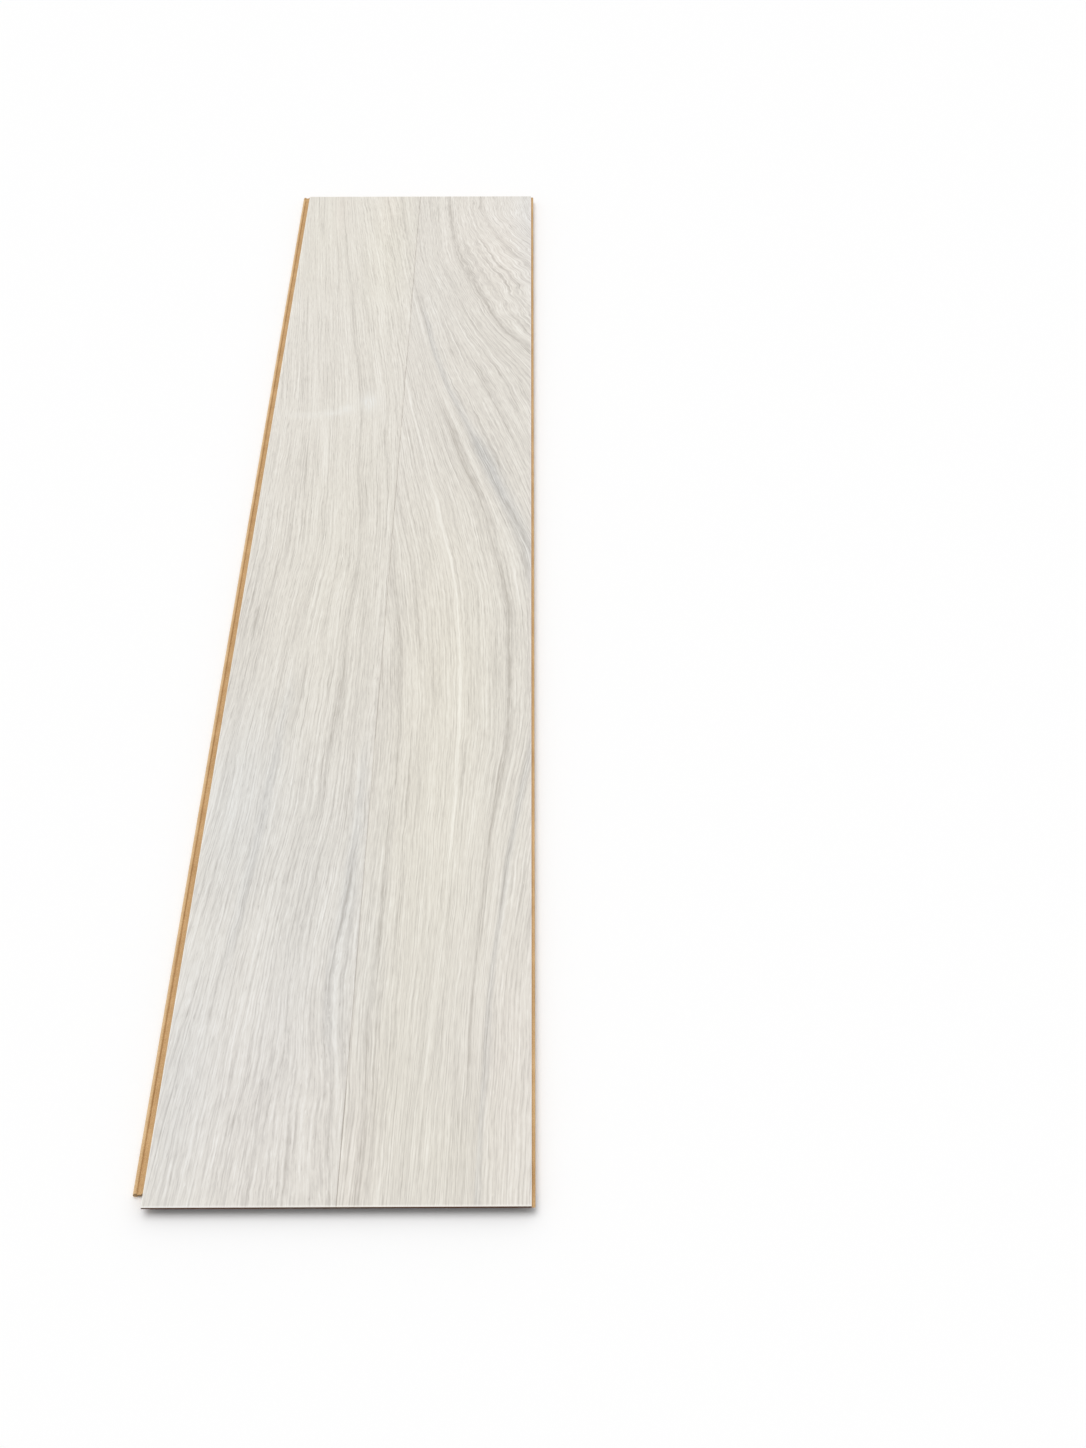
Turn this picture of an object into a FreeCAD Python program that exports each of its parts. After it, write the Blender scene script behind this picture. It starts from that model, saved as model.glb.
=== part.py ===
import FreeCAD, Part
import math
import os

# A laminate click floorboard: a fibreboard core milled on all four edges, with a printed face pressed on top.
# Millimetres, +Z up. The underside lies on Z = 0 and the origin is under the middle of the walking face.
# +Y runs along the board from its drop-in end to its end lip, and +X from its long groove to its long tongue.

# Walking face, measured from joint to joint as the board covers the floor
board_length = 1292.0
board_width = 246.0
board_thickness = 8.0

# Printed face: thickness, eased edges, and the pressed line that parts it into two strips
face_thickness = 0.5
edge_bevel_width = 0.9
edge_bevel_depth = 0.3
strip_line_width = 1.1
strip_line_depth = 0.35

# Gaps between this board and the next, shared by every male and female form
seat_play = 0.10
nose_play = 0.40
pocket_play = 0.30

# Long edges: upper lip over the groove, tongue, and the lower lip with its locking ridge
upper_lip = 1.8
tongue_reach = 2.4
lip_floor = 2.3
lip_seat_rise = 1.1
lip_seat_length = 1.5
lip_seat_run = 1.0
lip_channel_width = 2.0
lip_lock_run = 0.8
lip_ridge_rise = 1.1
lip_ridge_width = 1.3
lip_tip_run = 1.1
lip_tip_drop = 1.7
lip_relief_height = 1.0
lip_relief_run = 0.9

# Ends: the closed joint face, and the hook that drops into the end lip's channel behind its ridge
end_joint_face = 2.0
end_lip_floor = 2.4
end_channel_width = 3.6
end_lock_run = 0.5
end_ridge_rise = 1.8
end_ridge_width = 1.2
end_tip_run = 0.9
end_tip_drop = 2.2
hook_lead = 2.2

# Corners, where the mills of the long edges and of the ends cross
lip_setback = 13.0
corner_relief = 5.7

# Small roundings left by the cutters
ridge_round = 0.45
channel_round = 0.35
groove_round = 0.9
nose_round = 1.0
underside_ease = 0.8

# Sizes that follow from the ones above
half_length = board_length / 2
half_width = board_width / 2
core_top = board_thickness - face_thickness
groove_roof = board_thickness - upper_lip
groove_floor = lip_floor + lip_seat_rise
groove_depth = tongue_reach + nose_play
end_joint_foot = board_thickness - end_joint_face
cut_overrun = 2 * board_thickness


def lip_marks(floor, seat, seat_run, channel, lock_run, ridge_rise, ridge_width, tip_run):
    """Distances out from the joint, in order, at which a lower lip's top changes slope, and its ridge height."""
    channel_start = seat + seat_run
    channel_end = channel_start + channel
    ridge_start = channel_end + lock_run
    ridge_end = ridge_start + ridge_width
    return {
        "channel_start": channel_start,
        "channel_end": channel_end,
        "ridge_start": ridge_start,
        "ridge_end": ridge_end,
        "reach": ridge_end + tip_run,
        "floor": floor,
        "ridge": floor + ridge_rise,
    }


long_lip = lip_marks(
    lip_floor,
    lip_seat_length,
    lip_seat_run,
    lip_channel_width,
    lip_lock_run,
    lip_ridge_rise,
    lip_ridge_width,
    lip_tip_run,
)
end_lip = lip_marks(
    end_lip_floor,
    0.0,
    0.0,
    end_channel_width,
    end_lock_run,
    end_ridge_rise,
    end_ridge_width,
    end_tip_run,
)
long_pocket = long_lip["reach"] + pocket_play
end_pocket = end_lip["reach"] + pocket_play


def rounded_face(corners):
    """Flat face in the XY plane inside (x, y, radius) corners, each rounded by its radius, or sharp at 0."""
    edges = []
    entry_points = []
    exit_points = []
    bends = []
    for i, (x, y, radius) in enumerate(corners):
        corner = FreeCAD.Vector(x, y, 0)
        before = FreeCAD.Vector(*corners[i - 1][:2], 0) - corner
        after = FreeCAD.Vector(*corners[(i + 1) % len(corners)][:2], 0) - corner
        half_angle = before.getAngle(after) / 2
        room = min(before.Length, after.Length) * 0.49
        tangent = min(radius / math.tan(half_angle), room)
        before.normalize()
        after.normalize()
        entry_points.append(corner + before * tangent)
        exit_points.append(corner + after * tangent)
        inward = tangent / math.cos(half_angle) - tangent * math.tan(half_angle)
        bends.append(corner + (before + after).normalize() * inward)
    for i, bend in enumerate(bends):
        start = entry_points[i]
        end = exit_points[i]
        if start.distanceToPoint(end) > 1e-6:
            edges.append(Part.Arc(start, bend, end).toShape())
        edges.append(Part.makeLine(end, entry_points[(i + 1) % len(corners)]))
    return Part.Face(Part.Wire(edges))


def run_along_length(corners):
    """Solid with an (x, z) section, carried along Y past both ends of the board."""
    face = rounded_face(corners)
    face.rotate(FreeCAD.Vector(0, 0, 0), FreeCAD.Vector(1, 0, 0), 90)
    start = half_length + end_lip["reach"] + cut_overrun
    face.translate(FreeCAD.Vector(0, start, 0))
    return face.extrude(FreeCAD.Vector(0, -2 * start, 0))


def run_across_width(corners):
    """Solid with a (y, z) section, carried along X past both long edges of the board."""
    face = rounded_face(corners)
    face.rotate(FreeCAD.Vector(0, 0, 0), FreeCAD.Vector(1, 1, 1), 120)
    start = half_width + long_lip["reach"] + cut_overrun
    face.translate(FreeCAD.Vector(-start, 0, 0))
    return face.extrude(FreeCAD.Vector(2 * start, 0, 0))


def block(low, high):
    """Box between two opposite corners."""
    size = [b - a for a, b in zip(low, high)]
    return Part.makeBox(*size, FreeCAD.Vector(*low))


def lip_corners(lip, tip_drop, edge, outward):
    """Corners of a lower lip from its underside up over the tip and ridge to the foot of its lock face."""
    reach = lip["reach"]
    return [
        (edge + outward * (reach - underside_ease), 0.0, 0.0),
        (edge + outward * reach, underside_ease, 0.0),
        (edge + outward * reach, lip["ridge"] - tip_drop, ridge_round),
        (edge + outward * lip["ridge_end"], lip["ridge"], ridge_round),
        (edge + outward * lip["ridge_start"], lip["ridge"], ridge_round),
        (edge + outward * lip["channel_end"], lip["floor"], channel_round),
    ]


def pocket_corners(lip, pocket, edge, inward):
    """Corners of the recess that takes the next board's lip, from its lock face to the underside."""
    return [
        (edge + inward * lip["channel_end"], lip["floor"] + seat_play, channel_round),
        (edge + inward * lip["ridge_start"], lip["ridge"] + seat_play, ridge_round),
        (edge + inward * pocket, lip["ridge"] + seat_play, channel_round),
        (edge + inward * pocket, 0.0, 0.0),
    ]


def long_section():
    """Core section across the board: groove and locking lip on -X, tongue and locking pocket on +X."""
    left = -half_width
    right = half_width
    groove_side = lip_corners(long_lip, lip_tip_drop, left, -1) + [
        (left - long_lip["channel_start"], lip_floor, channel_round),
        (left - lip_seat_length, groove_floor, channel_round),
        (left + groove_depth, groove_floor, groove_round),
        (left + groove_depth, groove_roof, groove_round),
        (left, groove_roof, 0.0),
        (left, core_top, 0.0),
    ]
    tongue_side = [
        (right, core_top, 0.0),
        (right, groove_roof - seat_play, 0.0),
        (right + tongue_reach, groove_roof - seat_play, nose_round),
        (right + tongue_reach, groove_floor + seat_play, nose_round),
        (right - lip_seat_length, groove_floor + seat_play, channel_round),
        (right - long_lip["channel_start"], lip_floor + seat_play, channel_round),
    ]
    # The lip is thinned from below between the joint and its ridge, so that it can flex while boards click in.
    relief = [
        (left, 0.0, 0.0),
        (left - lip_relief_run, lip_relief_height, channel_round),
        (left - long_lip["ridge_start"] + lip_relief_run, lip_relief_height, channel_round),
        (left - long_lip["ridge_start"], 0.0, 0.0),
    ]
    return groove_side + tongue_side + pocket_corners(long_lip, long_pocket, right, -1) + relief


def end_section():
    """Core section along the board: drop-in hook under the -Y end, locking lip on the +Y end."""
    front = -half_length
    back = half_length
    hook_side = [
        (front, core_top, 0.0),
        (front, end_joint_foot, 0.0),
        (front + hook_lead, end_lip_floor + seat_play, channel_round),
    ]
    lip_side = lip_corners(end_lip, end_tip_drop, back, 1) + [
        (back, end_lip_floor, channel_round),
        (back, core_top, 0.0),
    ]
    return hook_side + pocket_corners(end_lip, end_pocket, front, 1) + lip_side


def fibreboard_core():
    """Core as the mills leave it: what both sections share, less the reliefs at its corners."""
    core = run_along_length(long_section()).common(run_across_width(end_section()))
    left = -half_width
    front = -half_length
    outside_x = half_width + long_lip["reach"] + cut_overrun
    outside_y = half_length + end_lip["reach"] + cut_overrun
    # The long lip stops short of the drop-in end, so the end lip of the next board passes it.
    lip_stop = block(
        (-outside_x, -outside_y, -cut_overrun),
        (left, front + lip_setback, groove_roof),
    )
    # Only the upper lip is left over the drop-in corner, so it folds down past a tongue.
    fold_relief = block(
        (left - cut_overrun, -outside_y, -cut_overrun),
        (left + corner_relief, front + end_pocket, groove_roof),
    )
    # The end lip stops at the tongue side's pocket, where the lip of the next row lies.
    row_relief = block(
        (half_width - long_pocket, half_length, -cut_overrun),
        (outside_x, outside_y, core_top),
    )
    return core.cut([lip_stop, fold_relief, row_relief])


def printed_face():
    """Pressed face sheet: eased on all four edges, parted lengthwise by the shallow strip line."""
    bevel_foot = board_thickness - edge_bevel_depth
    across = [
        (-half_width, core_top, 0.0),
        (half_width, core_top, 0.0),
        (half_width, bevel_foot, 0.0),
        (half_width - edge_bevel_width, board_thickness, 0.0),
        (strip_line_width / 2, board_thickness, 0.0),
        (0.0, board_thickness - strip_line_depth, 0.0),
        (-strip_line_width / 2, board_thickness, 0.0),
        (-half_width + edge_bevel_width, board_thickness, 0.0),
        (-half_width, bevel_foot, 0.0),
    ]
    along = [
        (-half_length, core_top, 0.0),
        (half_length, core_top, 0.0),
        (half_length, bevel_foot, 0.0),
        (half_length - edge_bevel_width, board_thickness, 0.0),
        (-half_length + edge_bevel_width, board_thickness, 0.0),
        (-half_length, bevel_foot, 0.0),
    ]
    return run_along_length(across).common(run_across_width(along))


os.makedirs("parts", exist_ok=True)
pieces = {
    "fibreboard_core": fibreboard_core(),
    "printed_face": printed_face(),
}
for name, shape in pieces.items():
    solids = shape.Solids
    print(name, len(solids), "solid", round(shape.Volume), "mm3, box", shape.BoundBox)
    solids[0].exportStep(f"parts/{name}.step")
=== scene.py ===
# %% [markdown]
# # A pale two-strip floorboard
# A laminate floorboard is a panel of brown fibreboard with click edges milled on all four sides, and
# a sheet printed with wood grain pressed onto its top. The frame loaded here holds both at their real
# size, in metres, with +Z up and +Y along the board. The new sheet takes its size from that frame, so
# nothing has to be fitted later.

# %% Load the board and keep its box
import math

import bpy
import numpy as np
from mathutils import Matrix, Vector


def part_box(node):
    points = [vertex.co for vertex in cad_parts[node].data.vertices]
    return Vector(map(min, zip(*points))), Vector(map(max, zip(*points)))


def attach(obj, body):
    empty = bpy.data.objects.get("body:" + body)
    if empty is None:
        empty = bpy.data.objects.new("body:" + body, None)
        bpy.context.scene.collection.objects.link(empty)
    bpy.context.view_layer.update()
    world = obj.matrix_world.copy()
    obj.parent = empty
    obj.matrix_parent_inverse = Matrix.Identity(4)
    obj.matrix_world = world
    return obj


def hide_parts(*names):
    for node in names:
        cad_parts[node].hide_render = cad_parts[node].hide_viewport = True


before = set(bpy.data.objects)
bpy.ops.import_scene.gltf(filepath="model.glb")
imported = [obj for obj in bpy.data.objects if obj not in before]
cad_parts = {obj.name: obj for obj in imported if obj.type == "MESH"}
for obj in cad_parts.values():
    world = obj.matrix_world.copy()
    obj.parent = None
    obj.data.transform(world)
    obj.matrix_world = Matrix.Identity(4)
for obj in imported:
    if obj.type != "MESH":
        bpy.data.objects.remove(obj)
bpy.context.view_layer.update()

scene = bpy.context.scene
mm = 0.001
face_low, face_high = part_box("printed_face")
half_width = face_high.x
half_length = face_high.y
print("walking face", round(2 * half_width / mm), "x", round(2 * half_length / mm), "mm")

# %% [markdown]
# ## The camera
# The board lies flat, and its long edges run together towards the back. How fast they do so gives the
# camera's dip and lens, and where they meet gives its place. A lens found this way needs no shift: the
# board simply lies left of the middle. Blender lays the sensor's width along the longer side of the
# picture.

# %% Camera
camera_place = (0.1269, -1.3181, 1.0665)
camera_dip = math.radians(43.594)
camera_turn = math.radians(0.274)
lens_mm = 48.08
sensor_mm = 36.0

camera_data = bpy.data.cameras.new("camera")
camera_data.sensor_width = sensor_mm
camera_data.lens = lens_mm
camera = bpy.data.objects.new("camera", camera_data)
camera.location = camera_place
camera.rotation_euler = (math.pi / 2 - camera_dip, 0.0, -camera_turn)
scene.collection.objects.link(camera)
scene.camera = camera
scene.view_settings.view_transform = "Standard"
print("camera", round(lens_mm, 1), "mm lens, dips", round(math.degrees(camera_dip), 1), "degrees")

# %% [markdown]
# ## Light
# The shadow is darkest right under the overhanging front edge and soon gone, as under an even sky, so
# the room gives most of the light. The shadow lies in front and a little to the right, with none behind,
# so a wide soft source high behind on the left gives the rest. A sun lamp with a large angle is such a
# source and lights both ends alike, which an area lamp near the board would not. The two shares add up
# to one, so that a colour on the face renders about as it is written.

# %% Soft sun
sun_share = 0.33
room_share = 1.0 - sun_share
sun_height = math.radians(75.0)
sun_side = math.radians(50.0)
sun_spread = math.radians(50.0)

sun_data = bpy.data.lights.new("soft_sun", "SUN")
sun_data.energy = sun_share * math.pi / math.sin(sun_height)
sun_data.angle = sun_spread
sun = bpy.data.objects.new("soft_sun", sun_data)
sun.rotation_euler = (-(math.pi / 2 - sun_height), 0.0, sun_side)
scene.collection.objects.link(sun)
print("sun strength", round(sun_data.energy, 2), "room strength", round(room_share, 2))


# %% [markdown]
# ## Small helpers for shader trees
# A material, and the room's light too, is a tree of nodes. Three helpers keep the cells below short: one
# makes a node and either sets or links each of its inputs, one reckons with two values, and one turns a
# range of values into another range.

# %% Node helpers
def node(tree, kind, inputs=None, **settings):
    """One shader node: settings are its properties, inputs holds a number or a feeding socket by name."""
    made = tree.nodes.new("ShaderNode" + kind)
    for name, value in settings.items():
        setattr(made, name, value)
    for name, value in (inputs or {}).items():
        if isinstance(value, bpy.types.NodeSocket):
            tree.links.new(value, made.inputs[name])
        else:
            made.inputs[name].default_value = value
    return made


def reckon(tree, operation, a, b=0.0):
    """Socket with what an operation, such as ADD or MULTIPLY, makes of two values."""
    return node(tree, "Math", {0: a, 1: b}, operation=operation).outputs[0]


def between(tree, value, low, high, to_low=0.0, to_high=1.0, kind="SMOOTHSTEP"):
    """Socket that goes from to_low to to_high while value goes from low to high, level outside."""
    inputs = {"Value": value, "From Min": low, "From Max": high, "To Min": to_low, "To Max": to_high}
    return node(tree, "MapRange", inputs, interpolation_type=kind).outputs["Result"]


print("helpers:", ", ".join(helper.__name__ for helper in (node, reckon, between)))


# %% [markdown]
# ## Room and floor
# The room sheds more light from behind the board than from the camera's side, evenly from one to the
# other, which keeps the hollow under the front edge dark. What the camera and mirrors see of it is plain
# white, which Light Path tells apart from the light that it sheds. The floor is a real white surface, so
# it takes the board's shadow.

# %% Room
room_lean = 0.37
front_light = room_share * (1.0 - room_lean)
back_light = room_share * (1.0 + room_lean)

world = bpy.data.worlds.new("room")
world.use_nodes = True
scene.world = world
air = world.node_tree
towards = node(air, "SeparateXYZ", {"Vector": node(air, "TexCoord").outputs["Generated"]}).outputs
shed = between(air, towards["Y"], -1.0, 1.0, front_light, back_light, "LINEAR")
path = node(air, "LightPath").outputs
seen = reckon(air, "MAXIMUM", path["Is Camera Ray"], path["Is Glossy Ray"])
seen = reckon(air, "MAXIMUM", seen, path["Is Transmission Ray"])
room = air.nodes["Background"]
room.inputs["Color"].default_value = (1.0, 1.0, 1.0, 1.0)
air.links.new(between(air, seen, 0.0, 1.0, shed, 1.0, "LINEAR"), room.inputs["Strength"])
print("room sheds", round(front_light, 2), "from the front and", round(back_light, 2), "from the back")


# %% Floor
def new_material(name):
    """Material with its tree and its own Principled shader."""
    material = bpy.data.materials.new(name)
    material.use_nodes = True
    return material, material.node_tree, material.node_tree.nodes["Principled BSDF"]


floor_half = 6.0
floor_level = -0.2 * mm
corner_signs = [(-1, -1), (1, -1), (1, 1), (-1, 1)]
floor_points = [(x * floor_half, y * floor_half, floor_level) for x, y in corner_signs]

floor_mesh = bpy.data.meshes.new("floor")
floor_mesh.from_pydata(floor_points, [], [(0, 1, 2, 3)])
floor = bpy.data.objects.new("floor", floor_mesh)
scene.collection.objects.link(floor)
floor_paint, _, floor_shader = new_material("floor_white")
floor_shader.inputs["Base Color"].default_value = (0.995, 0.995, 0.995, 1.0)
floor_shader.inputs["Roughness"].default_value = 1.0
floor_shader.inputs["Specular IOR Level"].default_value = 0.0
floor_mesh.materials.append(floor_paint)
print("floor", 2 * floor_half, "m wide at", round(floor_level / mm, 2), "mm")

# %% [markdown]
# ## The pressed sheet's shape
# The sheet is flat but for its rolled edges and the pressed line at mid-width that makes it look like two
# strips. It could be a box with bevels, but the grain needs a fine grid of points to hang on. So its
# section is worked out as a height over each place across the board, and carried along the board from end
# to end. The places stand closer at the edges, the line and the ends, where the surface bends.

# %% Section across the board
roll_width = 0.9 * mm
roll_depth = 0.3 * mm
line_half_width = 0.55 * mm
line_depth = 0.35 * mm
bend_steps = 6
across_step = 1.5 * mm


def rolled(distance):
    """Drop near an edge: depth times (1 - distance / width) to the power 1.5, none further in."""
    return roll_depth * np.clip(1.0 - distance / roll_width, 0.0, 1.0) ** 1.5


def pressed_line(x):
    """Drop of the strip line: depth times (1 - distance from mid-width / half width) to the power 1.2."""
    return line_depth * np.clip(1.0 - np.abs(x) / line_half_width, 0.0, 1.0) ** 1.2


roll_run = np.linspace(0.0, roll_width, bend_steps)
line_run = np.linspace(0.0, line_half_width, bend_steps)
strip_steps = round((half_width - roll_width - line_half_width) / across_step)
strip_run = np.linspace(line_half_width, half_width - roll_width, strip_steps + 1)
right_side = np.concatenate([line_run[1:-1], strip_run, half_width - roll_run[-2::-1]])
section_x = np.concatenate([-right_side[::-1], [0.0], right_side])
print(len(section_x), "places across, closest", round(np.diff(section_x).min() / mm, 2), "mm apart")

# %% Stations along the board
along_step = 5.0 * mm
end_margin = 3.0 * mm
rim_steps = np.array([1.3, 1.8, 2.4]) * mm

middle_steps = round(2 * (half_length - roll_width) / along_step)
middle_run = np.linspace(-half_length + end_margin, half_length - end_margin, middle_steps + 1)
end_run = np.concatenate([roll_run, rim_steps])
station_y = np.concatenate([-half_length + end_run, middle_run, half_length - end_run[::-1]])
print(len(station_y), "stations along")


# %% Points and faces of the sheet
def sheet_points():
    """Points by station and place round the section: left foot, top from left to right, right foot.
    The top's height is the lower of the section's own and that of the rolled ends."""
    top = face_high.z - np.maximum(rolled(half_width - np.abs(section_x)), pressed_line(section_x))
    end = face_high.z - rolled(half_length - np.abs(station_y))
    height = np.minimum(top[None, :], end[:, None])
    foot = np.full((len(station_y), 1), face_low.z)
    ring_x = np.concatenate([[-half_width], section_x, [half_width]])
    x, y = np.meshgrid(ring_x, station_y)
    z = np.concatenate([foot, height, foot], axis=1)
    return np.stack([x, y, z], axis=-1)


def sheet_faces(stations, ring):
    """Quads between neighbouring stations, closed underneath, and one flat face on each end."""
    index = np.arange(stations * ring).reshape(stations, ring)
    after = np.roll(index, -1, axis=1)
    quads = np.stack([index[:-1], after[:-1], after[1:], index[1:]], axis=-1).reshape(-1, 4)
    return quads.tolist() + [index[0, ::-1].tolist(), index[-1].tolist()]


sharp_from = math.radians(40.0)
points = sheet_points()
sheet_mesh = bpy.data.meshes.new("face_sheet")
sheet_mesh.from_pydata(points.reshape(-1, 3), [], sheet_faces(*points.shape[:2]))
sheet_mesh.polygons.foreach_set("use_smooth", np.ones(len(sheet_mesh.polygons), bool))
sheet_mesh.set_sharp_from_angle(angle=sharp_from)
sheet = bpy.data.objects.new("face_sheet", sheet_mesh)
scene.collection.objects.link(sheet)
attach(sheet, "root")
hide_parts("printed_face")
print("face sheet", len(sheet_mesh.polygons), "faces, sound:", not sheet_mesh.validate())

# %% [markdown]
# ## How the grain runs
# Grain is not straight: on the left strip it drifts sideways, and on the right strip it sweeps in a long
# arc round a knot that was once beside the board. A few guide lines drawn along the strongest grain say
# how it runs. Each has a label, its distance across the tree, and between two guides that distance goes
# evenly from one label to the next. Streaks made in that coordinate follow the arc by themselves, which
# turned noise could not do.

# %% Guide lines of the left strip, as (mm along the board, mm across it) from the back to the front
left_guides = {
    -120: [
        (646, -130), (450, -115), (300, -106), (200, -103), (0, -104), (-150, -112), (-300, -122),
        (-450, -137), (-646, -156),
    ],
    -76: [
        (646, -104), (500, -93), (350, -80), (215, -69), (100, -63), (15, -61), (-100, -70),
        (-215, -76), (-325, -81), (-448, -91), (-646, -106),
    ],
    -36: [
        (646, -86), (579, -80), (513, -71), (446, -63), (363, -55), (296, -45), (215, -38), (122, -36),
        (75, -30), (-18, -28), (-68, -31), (-298, -36), (-358, -43), (-415, -48), (-548, -53), (-646, -58),
    ],
    -8: [
        (646, -71), (561, -60), (471, -47), (396, -36), (300, -24), (250, -17), (150, -10), (50, -6),
        (-100, -6), (-275, -8), (-348, -10), (-432, -15), (-472, -19), (-508, -18), (-535, -11), (-646, -5),
    ],
    12: [
        (646, -51), (561, -37), (471, -23), (396, -13), (300, 0), (200, 8), (100, 14), (0, 18), (-646, 20),
    ],
    31: [(646, -22), (563, -11), (496, -1), (420, 10), (300, 24), (200, 33), (0, 40), (-646, 42)],
}
print(len(left_guides), "guides on the left strip")

# %% Guide lines of the right strip
right_guides = {
    14: [
        (646, -120), (400, -60), (180, -20), (80, -6), (-18, 3), (-61, 9), (-101, 14), (-215, 19),
        (-400, 15), (-500, 11), (-580, 14), (-646, 12),
    ],
    31: [
        (646, -100), (400, -45), (220, -16), (92, 2), (49, 10), (-11, 20), (-101, 30), (-180, 35),
        (-420, 34), (-646, 30),
    ],
    64: [
        (646, -72), (430, -28), (270, 2), (215, 12), (125, 29), (35, 47), (-12, 55), (-61, 60),
        (-118, 64), (-215, 66), (-299, 64), (-422, 59), (-582, 50), (-646, 47),
    ],
    104: [
        (646, -35), (450, -7), (360, 10), (262, 30), (209, 44), (165, 54), (122, 67), (89, 79), (55, 85),
        (5, 94), (-38, 101), (-85, 105), (-215, 106), (-282, 97), (-349, 90), (-482, 82), (-646, 79),
    ],
    126: [
        (646, -24), (520, -8), (476, 0), (429, 9), (379, 19), (329, 27), (276, 40), (219, 60), (142, 84),
        (72, 104), (15, 123), (-60, 131), (-135, 133), (-205, 129), (-265, 119), (-359, 105), (-475, 94),
        (-646, 88),
    ],
    200: [
        (646, 32), (579, 37), (513, 44), (456, 64), (406, 80), (369, 97), (329, 123), (280, 150),
        (140, 190), (-100, 208), (-400, 190), (-646, 180),
    ],
    262: [(646, 84), (603, 90), (559, 110), (530, 130), (440, 200), (250, 260), (-646, 280)],
}
print(len(right_guides), "guides on the right strip")

# %% Distance across the tree
guide_round = 70.0


def guide_track(marks, y):
    """Sideways place of a guide at each station: straight from mark to mark, then a running average."""
    along, across = np.array(marks[::-1], float).T
    each_mm = np.arange(y.min() - 2 * guide_round, y.max() + 2 * guide_round)
    straight = np.interp(each_mm, along, across)
    window = np.hanning(int(guide_round))
    return np.interp(y, each_mm, np.convolve(straight, window / window.sum(), mode="same"))


def grain_across(x, y, guides):
    """Distance across the tree, in mm: even from label to label between guides, mm for mm outside them."""
    labels = sorted(guides)
    tracks = [guide_track(guides[label], y)[:, None] for label in labels]
    found = labels[0] + np.minimum(x - tracks[0], 0.0) + np.maximum(x - tracks[-1], 0.0)
    for k in range(1, len(labels)):
        share = np.clip((x - tracks[k - 1]) / (tracks[k] - tracks[k - 1]), 0.0, 1.0)
        found = found + share * (labels[k] - labels[k - 1])
    return found


strip_shift = 1.0
grid_x = points[..., 0] / mm
grid_y = points[:, 0, 1] / mm
across_left = grain_across(grid_x, grid_y, left_guides) * mm
across_right = grain_across(grid_x, grid_y, right_guides) * mm + strip_shift
print("left grain", np.round([across_left.min(), across_left.max()], 3), "m across the tree")
print("right grain", np.round([across_right.min(), across_right.max()], 3), "m across the tree")

# %% [markdown]
# ## Hanging the grain on the sheet
# A UV map holds two numbers for each corner of each face, so the strips can have different grain although
# they share the points of the line between them. Its first number is the distance across the tree and its
# second the distance along the board. The right strip starts a metre further on, as if cut from another
# tree.

# %% Corners, their strips, and the grain map
corner_point = np.empty(len(sheet_mesh.loops), np.int32)
sheet_mesh.loops.foreach_get("vertex_index", corner_point)
face_size = np.empty(len(sheet_mesh.polygons), np.int32)
sheet_mesh.polygons.foreach_get("loop_total", face_size)
face_centre = np.empty(3 * len(sheet_mesh.polygons), np.float32)
sheet_mesh.polygons.foreach_get("center", face_centre)
on_right = np.repeat(face_centre[0::3] > 0.0, face_size)


def to_corners(left_values, right_values):
    """Value at each face corner, from the grid of the strip that its face lies on."""
    return np.where(on_right, right_values.ravel()[corner_point], left_values.ravel()[corner_point])


grain_map = sheet_mesh.uv_layers.new(name="grain")
along_board = points[..., 1]
pairs = np.stack([to_corners(across_left, across_right), to_corners(along_board, along_board)], axis=-1)
grain_map.uv.foreach_set("vector", pairs.astype(np.float32).ravel())
print("grain map", len(pairs), "corners,", int(on_right.sum()), "of them on the right strip")


# %% [markdown]
# ## Zones of the print
# The print isn't the same all over. The front of the left strip is bluish and the front of the right one
# golden, a few places are pinkish, and a pale smear crosses the left strip. In other zones the grain
# ripples, runs calm and long, shows more dark pores, or is a little lighter or darker as a whole. Such soft
# zones are sums of bell-shaped spots. They are worked out at the points and kept as attributes, which a
# material reads by name. Two more say how far a point lies down an edge or down the strip line; they carry
# a painted highlight along the rolled edges and ends, and painted shade in the pressed line over a darker
# print.

# %% Colour zones
def spots(rows):
    """Sum of bells: strength times exp(-(dx / rx)^2 - (dy / ry)^2).
    A row is (x, y, rx, ry, strength), all in mm but the strength."""
    x = grid_x
    y = grid_y[:, None]
    return sum(s * np.exp(-(((x - cx) / rx) ** 2) - ((y - cy) / ry) ** 2) for cx, cy, rx, ry, s in rows)


cool_left = spots([
    (-118, -20, 16, 110, 0.1), (-100, -295, 38, 115, 0.9), (-30, -360, 40, 130, 0.4),
    (-75, -560, 70, 130, 0.6), (-112, -540, 24, 120, 0.5), (-6, -420, 8, 120, 0.3),
    (-50, -480, 24, 100, 0.2),
])
cool_right = spots([
    (108, 620, 40, 70, 0.3), (20, 420, 30, 90, 0.15), (120, 600, 14, 160, 0.5), (8, -450, 12, 150, 0.3),
])
gold_left = spots([(-100, 560, 40, 140, 0.5), (-30, 540, 30, 160, 0.8), (-40, 20, 60, 240, 0.5)])
gold_right = spots([
    (40, 10, 60, 130, 0.45), (60, -130, 50, 120, 0.7), (75, -610, 30, 50, 0.5),
    (50, -330, 50, 170, 0.8), (30, -560, 30, 100, 0.4),
])
pink_left = spots([(-35, 640, 12, 70, 0.5), (-85, 620, 8, 60, 0.5), (-60, -560, 60, 110, 0.5)])
pink_right = spots([
    (108, -540, 24, 120, 0.4), (10, -600, 14, 80, 0.4), (100, 560, 50, 120, 0.5),
    (45, -100, 40, 170, 0.25),
])
smear_left = spots([
    (-92, 222, 22, 4, 0.45), (-66, 226, 10, 5, 0.7), (-54, 233, 7, 7, 0.7), (-33, 244, 9, 16, 1.1),
])
zones = {
    "cool": (cool_left, cool_right),
    "gold": (gold_left, gold_right),
    "pink": (pink_left, pink_right),
    "smear": (smear_left, np.zeros_like(grid_x)),
}
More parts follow.
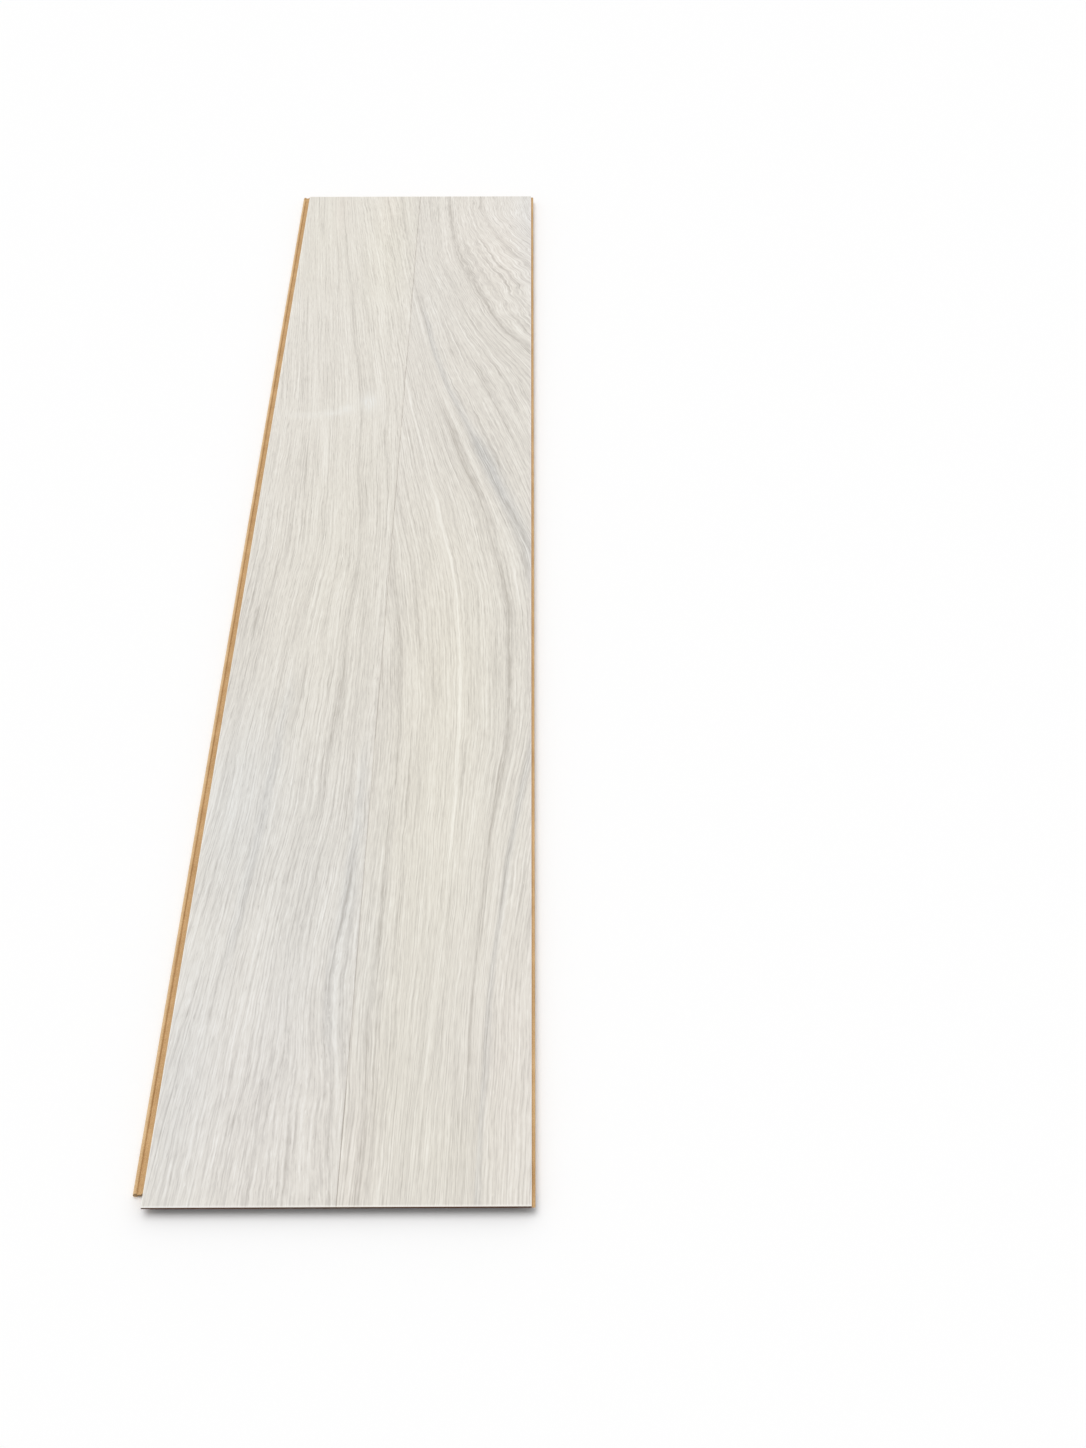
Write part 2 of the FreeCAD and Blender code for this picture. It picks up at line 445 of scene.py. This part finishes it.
print("colour zones", ", ".join(zones))


# %% Zones that change the grain itself
def even(side, strength):
    """Row of a bell far wider than a strip, so nearly even over it; side is -1 for left, 1 for right."""
    return (side * 60, 0, 300, 3000, strength)


lift_left = spots([
    (-60, 560, 90, 220, 0.5), (-60, 250, 90, 160, 0.3), (-60, -240, 90, 180, -0.4),
    (-105, -270, 24, 110, 0.5), (-116, -90, 14, 110, -0.9), (-95, -480, 36, 60, 0.9),
    (-73, -600, 14, 60, 0.8), (-60, -400, 90, 260, -0.1), (-60, -610, 70, 70, -0.2),
    (-50, -60, 36, 80, 0.45), (-30, -270, 12, 60, 0.6), (-10, 150, 12, 70, -0.8),
    (-10, -380, 12, 70, -0.7), (-10, -610, 12, 50, -0.7), (-52, 500, 12, 80, -0.6),
])
lift_right = spots([
    even(1, -0.22), (105, 600, 45, 110, 0.75), (60, 340, 60, 140, -0.25), (60, -560, 90, 120, -0.45),
    (116, -140, 18, 160, -1.4), (50, -60, 30, 80, 0.4), (60, -130, 50, 60, -0.15),
    (60, -340, 60, 80, 0.46), (8, -230, 12, 130, -0.8), (90, 170, 40, 60, -0.5),
    (112, 280, 24, 60, -0.4), (17, 375, 12, 50, 0.6), (60, 480, 20, 60, -0.5),
    (100, -480, 20, 60, 0.6), (92, -600, 14, 60, 0.6),
])
ripple_left = spots([(-60, 0, 90, 900, 0.25), (-60, 560, 120, 160, 0.2)])
ripple_right = spots([(60, 0, 90, 900, 0.25), (110, 560, 75, 190, 1.0)])
calm_left = spots([even(-1, 0.85), (-60, -560, 200, 300, -0.2)])
calm_right = spots([even(1, 0.6), (60, -560, 200, 340, 0.25), (80, 620, 120, 220, -0.95)])
zones.update({
    "lift": (lift_left, lift_right),
    "ripple": (ripple_left, ripple_right),
    "calm": (calm_left, calm_right),
    "pored": (spots([even(-1, 1.0)]), spots([even(1, 0.3)])),
})
print("lift from", np.round(lift_right.min(), 2), "to", np.round(lift_left.max(), 2))

# %% Edge and strip line, and all zones onto the corners
rim_width = 0.9 * mm
line_shade_far = 0.45
line_shade_run = 80.0 * mm

# the painted highlight on the rolled ends is full up to half its width from an end, and gone one and a half
# widths in
end_rim_highlight = np.clip(1.5 - (half_length - np.abs(along_board)) / rim_width, 0.0, 1.0)
edge_rise = np.maximum(rolled(half_width - np.abs(points[..., 0])) / roll_depth, end_rim_highlight)
# the strip line is painted darker, partly as shade in its groove and partly as a darker print, and most at
# the drop-in end
line_dark = np.exp(-(((along_board + half_length) / line_shade_run) ** 2))
line_shade = line_shade_far + (1.0 - line_shade_far) * line_dark
line_fall = line_shade * pressed_line(points[..., 0]) / line_depth
zones["edge"] = (edge_rise, edge_rise)
zones["line"] = (line_fall, line_fall)
for name, (left_zone, right_zone) in zones.items():
    kept = sheet_mesh.attributes.new(name, "FLOAT", "CORNER")
    kept.data.foreach_set("value", to_corners(left_zone, right_zone).astype(np.float32))
print("zones", ", ".join(zones))


# %% [markdown]
# ## Two shared effects
# Wood grain and milled fibreboard both show long streaks, so stretched noise is one group that both
# materials use. A single grain line is the other: a bell across the grain that fades in and out along it,
# placed once for each line with its own values. A group has named sockets, so it is used like a node.

# %% Group: streaks
def new_group(name, inputs, output):
    """Empty group tree with named inputs (floats, but Place is a vector) and one float output."""
    tree = bpy.data.node_groups.new(name, "ShaderNodeTree")
    for socket in inputs:
        kind = "NodeSocketVector" if socket == "Place" else "NodeSocketFloat"
        tree.interface.new_socket(name=socket, in_out="INPUT", socket_type=kind)
    tree.interface.new_socket(name=output, in_out="OUTPUT", socket_type="NodeSocketFloat")
    entry = tree.nodes.new("NodeGroupInput")
    leave = tree.nodes.new("NodeGroupOutput")
    return tree, entry.outputs, leave.inputs[output]


def placed(tree, group, inputs):
    """Output socket of a group that is placed in a tree with its own values."""
    return node(tree, "Group", inputs, node_tree=group).outputs[0]


streaks, streaks_in, streaks_out = new_group("long_streaks", ["Place", "Across", "Along", "Seed"], "Streak")
place = node(streaks, "SeparateXYZ", {"Vector": streaks_in["Place"]}).outputs
stretched = {
    "X": reckon(streaks, "MULTIPLY", place["X"], streaks_in["Across"]),
    "Y": reckon(streaks, "MULTIPLY", place["Y"], streaks_in["Along"]),
    "Z": streaks_in["Seed"],
}
spot = node(streaks, "CombineXYZ", stretched).outputs["Vector"]
speckle = node(streaks, "TexNoise", {"Vector": spot, "Scale": 1.0, "Detail": 2.0, "Roughness": 0.55})
centred = reckon(streaks, "SUBTRACT", speckle.outputs["Fac"], 0.5)
streaks.links.new(reckon(streaks, "MULTIPLY", centred, 2.0), streaks_out)
print("group", streaks.name, "has", len(streaks.nodes), "nodes")

# %% Group: one grain line
line_sockets = ["Place", "Centre", "Width", "Back", "Front", "Fade"]
grain_line, line_in, line_out = new_group("grain_line", line_sockets, "Mask")
place = node(grain_line, "SeparateXYZ", {"Vector": line_in["Place"]}).outputs
offset = reckon(grain_line, "SUBTRACT", place["X"], line_in["Centre"])
offset = reckon(grain_line, "DIVIDE", offset, line_in["Width"])
square = reckon(grain_line, "MULTIPLY", offset, offset)
bell = reckon(grain_line, "EXPONENT", reckon(grain_line, "MULTIPLY", square, -1.0))
front_end = reckon(grain_line, "ADD", line_in["Front"], line_in["Fade"])
back_end = reckon(grain_line, "SUBTRACT", line_in["Back"], line_in["Fade"])
starts = between(grain_line, place["Y"], line_in["Front"], front_end)
stops = between(grain_line, place["Y"], back_end, line_in["Back"], 1.0, 0.0)
present = reckon(grain_line, "MULTIPLY", starts, stops)
grain_line.links.new(reckon(grain_line, "MULTIPLY", bell, present), line_out)
print("group", grain_line.name, "has", len(grain_line.nodes), "nodes")

# %% [markdown]
# ## The wood print
# The print is a whitewashed oak: a pale ground with broad soft bands, finer streaks, short dark pores and
# chalky flecks, thin dark hairs, pale washed lines, and a few strong grain lines that the eye follows.
# Each is made in the grain's own coordinate. The place is first bent a little by noise, so that no line is
# as smooth as a ruler's, and less so where the grain is calm.

# %% Grain place with its small bends
wood, wood_tree, wood_shader = new_material("whitewashed_print")
wild_bend = 3.0 * mm
calm_bend = 1.8 * mm
ripple_reach = 5.0 * mm


def zone(name):
    """Socket with a zone's value at the point that is being coloured."""
    return node(wood_tree, "Attribute", attribute_name=name).outputs["Fac"]


def times(a, b):
    """Socket with the product of two values in the print's tree."""
    return reckon(wood_tree, "MULTIPLY", a, b)


def eased(value, low, high, to_low, to_high):
    """Straight run from to_low to to_high while value goes from low to high, level outside."""
    return between(wood_tree, value, low, high, to_low, to_high, "LINEAR")


def streaks_at(where, across, along, seed):
    """Stretched noise about zero, with its own number of streaks per metre across and along the grain."""
    return placed(wood_tree, streaks, {"Place": where, "Across": across, "Along": along, "Seed": seed})


calm = zone("calm")
rippled = zone("ripple")
grain_uv = node(wood_tree, "UVMap", uv_map="grain").outputs["UV"]
bend = times(streaks_at(grain_uv, 14.0, 9.0, 3.1), eased(calm, 0.0, 1.0, wild_bend, calm_bend))
ripple = times(times(streaks_at(grain_uv, 60.0, 42.0, 7.7), rippled), ripple_reach)
shift = node(wood_tree, "CombineXYZ", {"X": reckon(wood_tree, "ADD", bend, ripple)}).outputs["Vector"]
grain = node(wood_tree, "VectorMath", {0: grain_uv, 1: shift}, operation="ADD").outputs["Vector"]
print("grain bends by about", round(calm_bend / mm, 1), "to", round(wild_bend / mm, 1), "mm")

# %% [markdown]
# ## Strong grain lines
# The eye knows a board by its few strong lines. Each is one row: its label across the tree and half width
# in mm, where it ends at the back and at the front in mm along the board, and its strength. Labels from
# 1000 up lie on the right strip. Dark lines waver in strength, as late wood does under a whitewash.

# %% Dark lines
dark_lines = [
    (-36, 2.6, 700, -330, 0.55),
    (-36, 1.2, -180, -700, 0.50),
    (-30, 0.8, -120, -480, 0.40),
    (-44, 0.8, -260, -640, 0.35),
    (-76, 1.6, 80, -520, 0.45),
    (-91, 1.2, 375, 275, 0.65),
    (-98, 1.4, 180, 80, 1.00),
    (-120, 2.0, -45, -112, 1.30),
    (-90, 1.2, -545, -615, 0.60),
    (-8, 0.9, -240, -700, 0.50),
    (-8, 0.9, -440, -548, 0.50),
    (-3, 0.8, -370, -590, 0.65),
    (31, 1.6, 700, 470, 0.55),
    (1014, 2.2, 40, -700, 0.75),
    (1024, 0.8, -180, -580, 0.40),
    (1031, 1.8, 160, -160, 0.50),
    (1104, 2.4, 270, -360, 0.82),
    (1108, 4.5, 250, 70, 0.35),
    (1104, 2.6, -280, -700, 0.70),
    (1123.5, 3.0, 560, 60, 0.70),
    (1124, 2.4, -80, -700, 0.70),
    (1126, 6.5, 210, -70, 0.50),
    (1150, 1.2, 500, 150, 0.35),
    (1172, 1.2, 560, 200, 0.35),
    (1200, 2.2, 700, 250, 0.62),
    (1204, 5.0, 640, 300, 0.22),
    (1222, 1.6, 700, 420, 0.40),
    (1240, 1.6, 700, 480, 0.40),
]
print(len(dark_lines), "dark lines")

# %% Pale lines, and lines that are only cooler
pale_lines = [
    (2, 4.0, 600, 380, 0.40),
    (-62, 5.0, 120, -300, 0.25),
    (-59, 2.0, -390, -570, 0.40),
    (-5.5, 0.9, -340, -620, 0.50),
    (1064, 1.3, 330, -470, 0.90),
    (1064, 1.3, 60, -360, 0.50),
    (1064, 1.3, -400, -700, 0.60),
    (1114, 2.2, 520, -100, 0.55),
    (1078, 0.8, 290, -200, 0.30),
    (1090, 0.9, 320, -120, 0.30),
    (1136, 0.9, 500, 60, 0.40),
    (1145, 0.9, 480, 120, 0.35),
    (1158, 1.2, 500, 180, 0.50),
    (1168, 0.9, 520, 180, 0.40),
    (1180, 0.9, 560, 220, 0.40),
    (1112, 1.2, 300, -300, 0.35),
    (1188, 2.0, 640, 250, 0.30),
    (1206, 1.4, 700, 300, 0.50),
    (1214, 1.6, 700, 350, 0.45),
    (1226, 1.4, 700, 400, 0.50),
    (1234, 1.2, 700, 430, 0.40),
    (1247, 1.4, 700, 480, 0.50),
    (1256, 1.2, 700, 520, 0.40),
    (1085, 4.0, 0, -500, 0.20),
]
cool_lines = [
    (1125, 4.0, 430, 60, 0.55),
    (1126, 7.0, 210, -70, 0.65),
    (1125, 3.0, -140, -700, 0.50),
    (-76, 4.0, -120, -480, 0.30),
    (-8, 3.5, -200, -560, 0.35),
]
print(len(pale_lines), "pale and", len(cool_lines), "cool lines")

# %% Figures: the lines added up
longest_fade = 60.0 * mm
fade_share = 0.4


def line_sum(rows):
    """Sum of grain lines, each a placed group times its strength; a short line also fades over less."""
    total = 0.0
    for label, width, back, front, strength in rows:
        sizes = {"Centre": label * mm, "Width": width * mm, "Back": back * mm, "Front": front * mm}
        fade = min(longest_fade, fade_share * (back - front) * mm)
        mask = placed(wood_tree, grain_line, {"Place": grain, "Fade": fade, **sizes})
        total = reckon(wood_tree, "ADD", total, times(mask, strength))
    return total


waver = between(wood_tree, streaks_at(grain, 40.0, 12.0, 83.0), -0.4, 0.4, 0.8, 1.15)
dark_figure = times(line_sum(dark_lines), waver)
pale_figure = line_sum(pale_lines)
cool_figure = line_sum(cool_lines)
print("print takes", len(wood_tree.nodes), "nodes with its lines")

# %% [markdown]
# ## The ground between the lines
# Between the strong lines lies a mix of streaks, from bands as wide as a finger to threads thinner than a
# millimetre. Pores and chalk are the two ends of one short noise. Hairs and wash are the lines along which
# a long noise passes zero, which gives the fine drawn look that plain noise lacks. The zones then change
# the mix: calm places show more long threads and less short grain, and the right strip has fewer pores and
# more wash. The smear whitens the dark short grain most, as wiped paint fills it.

# %% Streaks, pores, hairs and wash
def zero_lines(noise, reach):
    """Thin lines where a noise passes zero: one at zero, falling to none where its size is reach."""
    return between(wood_tree, reckon(wood_tree, "ABSOLUTE", noise), reach, 0.0)


bands = streaks_at(grain, 60.0, 2.2, 11.0)
streak = streaks_at(grain, 210.0, 4.0, 23.0)
threads = streaks_at(grain, 860.0, 9.0, 57.0)
fine = streaks_at(grain, 920.0, 80.0, 31.0)
flecks = streaks_at(grain, 1100.0, 90.0, 43.0)
pores = between(wood_tree, flecks, 0.22, 0.52)
chalk = between(wood_tree, flecks, -0.22, -0.52)
hairs = zero_lines(streaks_at(grain, 150.0, 2.6, 71.0), 0.05)
wash = zero_lines(streaks_at(grain, 400.0, 5.0, 97.0), 0.09)
print("print takes", len(wood_tree.nodes), "nodes with its ground")

# %% The mix over the board
pored = zone("pored")
lined = eased(rippled, 0.25, 1.0, 1.0, 1.4)
threads = times(times(threads, eased(calm, 0.0, 1.0, 0.9, 1.4)), lined)
fine = times(fine, eased(calm, -0.5, 1.0, 1.3, 0.7))
pores = times(pores, pored)
chalk = times(chalk, eased(pored, 0.0, 1.0, 0.7, 1.1))
hairs = times(hairs, eased(pored, 0.0, 1.0, 0.7, 1.0))
wash = times(times(wash, lined), eased(pored, 0.0, 1.0, 1.6, 1.0))
smear = times(zone("smear"), between(wood_tree, fine, 0.35, -0.35, 0.2, 1.8))
print("print takes", len(wood_tree.nodes), "nodes with its mix")

# %% [markdown]
# ## Tone and colour
# All parts add up to one tone, from dark (0) through the ground (0.5) to chalk (1), and a colour ramp turns
# the tone into the print's own greys. One sum keeps the weights side by side, where they are easy to set
# against each other. The cool, golden and pinkish zones then tint that colour by a few hundredths.

# %% Tone
ground_tone = 0.475
tone_parts = [
    (bands, 0.14),
    (streak, 0.09),
    (threads, 0.41),
    (fine, 0.42),
    (pores, -0.30),
    (chalk, 0.28),
    (hairs, -0.19),
    (wash, 0.12),
    (dark_figure, -0.34),
    (pale_figure, 0.30),
    (smear, 0.26),
    # painted highlight along the rolled edges and ends
    (zone("edge"), 0.60),
    # painted shade in the pressed line, over a darker printed line
    (zone("line"), -0.90),
    (zone("lift"), 0.10),
]
tone = ground_tone
for part, weight in tone_parts:
    tone = reckon(wood_tree, "ADD", tone, times(part, weight))
print("tone adds up", len(tone_parts), "parts")


# %% Colours of the tone
def srgb(red, green, blue):
    """Linear colour, as shaders want it, from the three numbers that a paint chart gives."""
    share = np.array([red, green, blue]) / 255.0
    linear = np.where(share > 0.04045, ((share + 0.055) / 1.055) ** 2.4, share / 12.92)
    return (*linear.tolist(), 1.0)


tone_colours = [
    (0.0, srgb(190, 184, 175)),
    (0.3, srgb(212, 207, 199)),
    (0.5, srgb(225, 220, 211)),
    (0.7, srgb(234, 230, 222)),
    (1.0, srgb(245, 242, 235)),
]
ramp = node(wood_tree, "ValToRGB", {"Fac": tone})
for stop, _ in tone_colours[1:-1]:
    ramp.color_ramp.elements.new(stop)
for element, (stop, colour) in zip(ramp.color_ramp.elements, tone_colours):
    element.color = colour
print("ramp stops at", [round(element.position, 2) for element in ramp.color_ramp.elements])


# %% Tints, gloss and relief
def blended(tree, share, a, b, blend_type="MIX"):
    """Colour socket that goes from colour a to colour b, or to their product, with share."""
    mixed = node(tree, "Mix", {0: share, 6: a, 7: b}, data_type="RGBA", blend_type=blend_type)
    return mixed.outputs[2]


cool_tint = (0.955, 0.985, 1.03, 1.0)
gold_tint = (1.0, 1.0, 0.965, 1.0)
pink_tint = (1.012, 0.985, 0.985, 1.0)
smear_coolness = 0.5
grain_relief = 0.06 * mm

cool = reckon(wood_tree, "ADD", zone("cool"), cool_figure)
cool = reckon(wood_tree, "ADD", cool, times(smear, smear_coolness))
tinted = blended(wood_tree, cool, ramp.outputs["Color"], cool_tint, "MULTIPLY")
tinted = blended(wood_tree, zone("gold"), tinted, gold_tint, "MULTIPLY")
tinted = blended(wood_tree, zone("pink"), tinted, pink_tint, "MULTIPLY")
wood_tree.links.new(tinted, wood_shader.inputs["Base Color"])
wood_tree.links.new(eased(fine, -0.6, 0.6, 0.62, 0.50), wood_shader.inputs["Roughness"])
wood_shader.inputs["Specular IOR Level"].default_value = 0.25
relief = reckon(wood_tree, "SUBTRACT", times(fine, 0.5), pores)
bump = node(wood_tree, "Bump", {"Height": relief, "Strength": 0.25, "Distance": grain_relief})
wood_tree.links.new(bump.outputs["Normal"], wood_shader.inputs["Normal"])
sheet_mesh.materials.append(wood)
print("print", wood.name, "has", len(wood_tree.nodes), "nodes")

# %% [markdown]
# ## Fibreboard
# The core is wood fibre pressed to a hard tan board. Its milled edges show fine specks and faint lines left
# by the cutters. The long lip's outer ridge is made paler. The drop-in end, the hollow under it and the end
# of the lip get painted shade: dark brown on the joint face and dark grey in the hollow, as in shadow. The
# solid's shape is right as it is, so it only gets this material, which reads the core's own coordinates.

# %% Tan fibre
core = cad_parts["fibreboard_core"]
fibre, fibre_tree, fibre_shader = new_material("milled_fibreboard")
where = node(fibre_tree, "TexCoord").outputs
dark_tan = srgb(179, 138, 89)
pale_tan = srgb(227, 193, 145)


def fibre_noise(scale, weight):
    """Noise about zero with a number of grains per metre, times a weight."""
    grains = node(fibre_tree, "TexNoise", {"Vector": where["Object"], "Scale": scale, "Detail": 3.0})
    centred = reckon(fibre_tree, "SUBTRACT", grains.outputs["Fac"], 0.5)
    return reckon(fibre_tree, "MULTIPLY", centred, weight)


cutter_lines = {"Place": where["Object"], "Across": 1600.0, "Along": 12.0, "Seed": 5.0}
cut = reckon(fibre_tree, "MULTIPLY", placed(fibre_tree, streaks, cutter_lines), 0.18)
shade = reckon(fibre_tree, "ADD", fibre_noise(55.0, 0.5), fibre_noise(1500.0, 0.9))
shade = reckon(fibre_tree, "ADD", shade, cut)
tan = blended(fibre_tree, between(fibre_tree, shade, -0.45, 0.45), dark_tan, pale_tan)
print("core", len(core.data.polygons), "faces")

# %% Paler ridge and painted shade on the drop-in end
ridge_foot = -half_width - 5.3 * mm
ridge_top = -half_width - 6.4 * mm
shade_start = -half_length + 16.0 * mm
shade_full = -half_length + 10.0 * mm
joint_foot = face_high.z - 2.0 * mm
hollow_top = face_high.z - 2.2 * mm
ridge_paling = (1.13, 1.20, 1.34, 1.0)
# painted shade: dark brown for the joint face and dark grey for the hollow under it, standing in for their
# shadow
joint_face_shade = (0.15, 0.08, 0.04, 1.0)
hollow_shade = (0.10, 0.095, 0.11, 1.0)

spot = node(fibre_tree, "SeparateXYZ", {"Vector": where["Object"]}).outputs
facing = node(fibre_tree, "SeparateXYZ", {"Vector": where["Normal"]}).outputs
# the long lip's outer ridge is made paler and a little cooler
paler_ridge = between(fibre_tree, spot["X"], ridge_foot, ridge_top)
tan = blended(fibre_tree, paler_ridge, tan, ridge_paling, "MULTIPLY")
out_or_down = reckon(fibre_tree, "MINIMUM", facing["Y"], facing["Z"])
near_end = between(fibre_tree, spot["Y"], shade_start, shade_full, kind="LINEAR")
off_underside = between(fibre_tree, spot["Z"], 0.2 * mm, 0.8 * mm)
# painted shade on faces turned to the front or down, fading in from 16 mm to 10 mm from the drop-in end,
# the lip's end face included, the underside left out
end_shade_mask = reckon(fibre_tree, "MULTIPLY", between(fibre_tree, out_or_down, -0.35, -0.75), near_end)
end_shade_mask = reckon(fibre_tree, "MULTIPLY", end_shade_mask, off_underside)
in_hollow = between(fibre_tree, spot["Z"], joint_foot, hollow_top)
painted_shade = blended(fibre_tree, in_hollow, joint_face_shade, hollow_shade)
tan = blended(fibre_tree, end_shade_mask, tan, painted_shade, "MULTIPLY")
print("burnt over the last", round((shade_start + half_length) / mm), "mm of the drop-in end")

# %% Finish of the fibreboard
fibre_relief = 0.05 * mm

fibre_tree.links.new(tan, fibre_shader.inputs["Base Color"])
fibre_shader.inputs["Roughness"].default_value = 0.8
fibre_shader.inputs["Specular IOR Level"].default_value = 0.2
fibre_bump = node(fibre_tree, "Bump", {"Height": shade, "Strength": 0.3, "Distance": fibre_relief})
fibre_tree.links.new(fibre_bump.outputs["Normal"], fibre_shader.inputs["Normal"])
core.material_slots[0].material = fibre
print("fibreboard", fibre.name, "has", len(fibre_tree.nodes), "nodes")
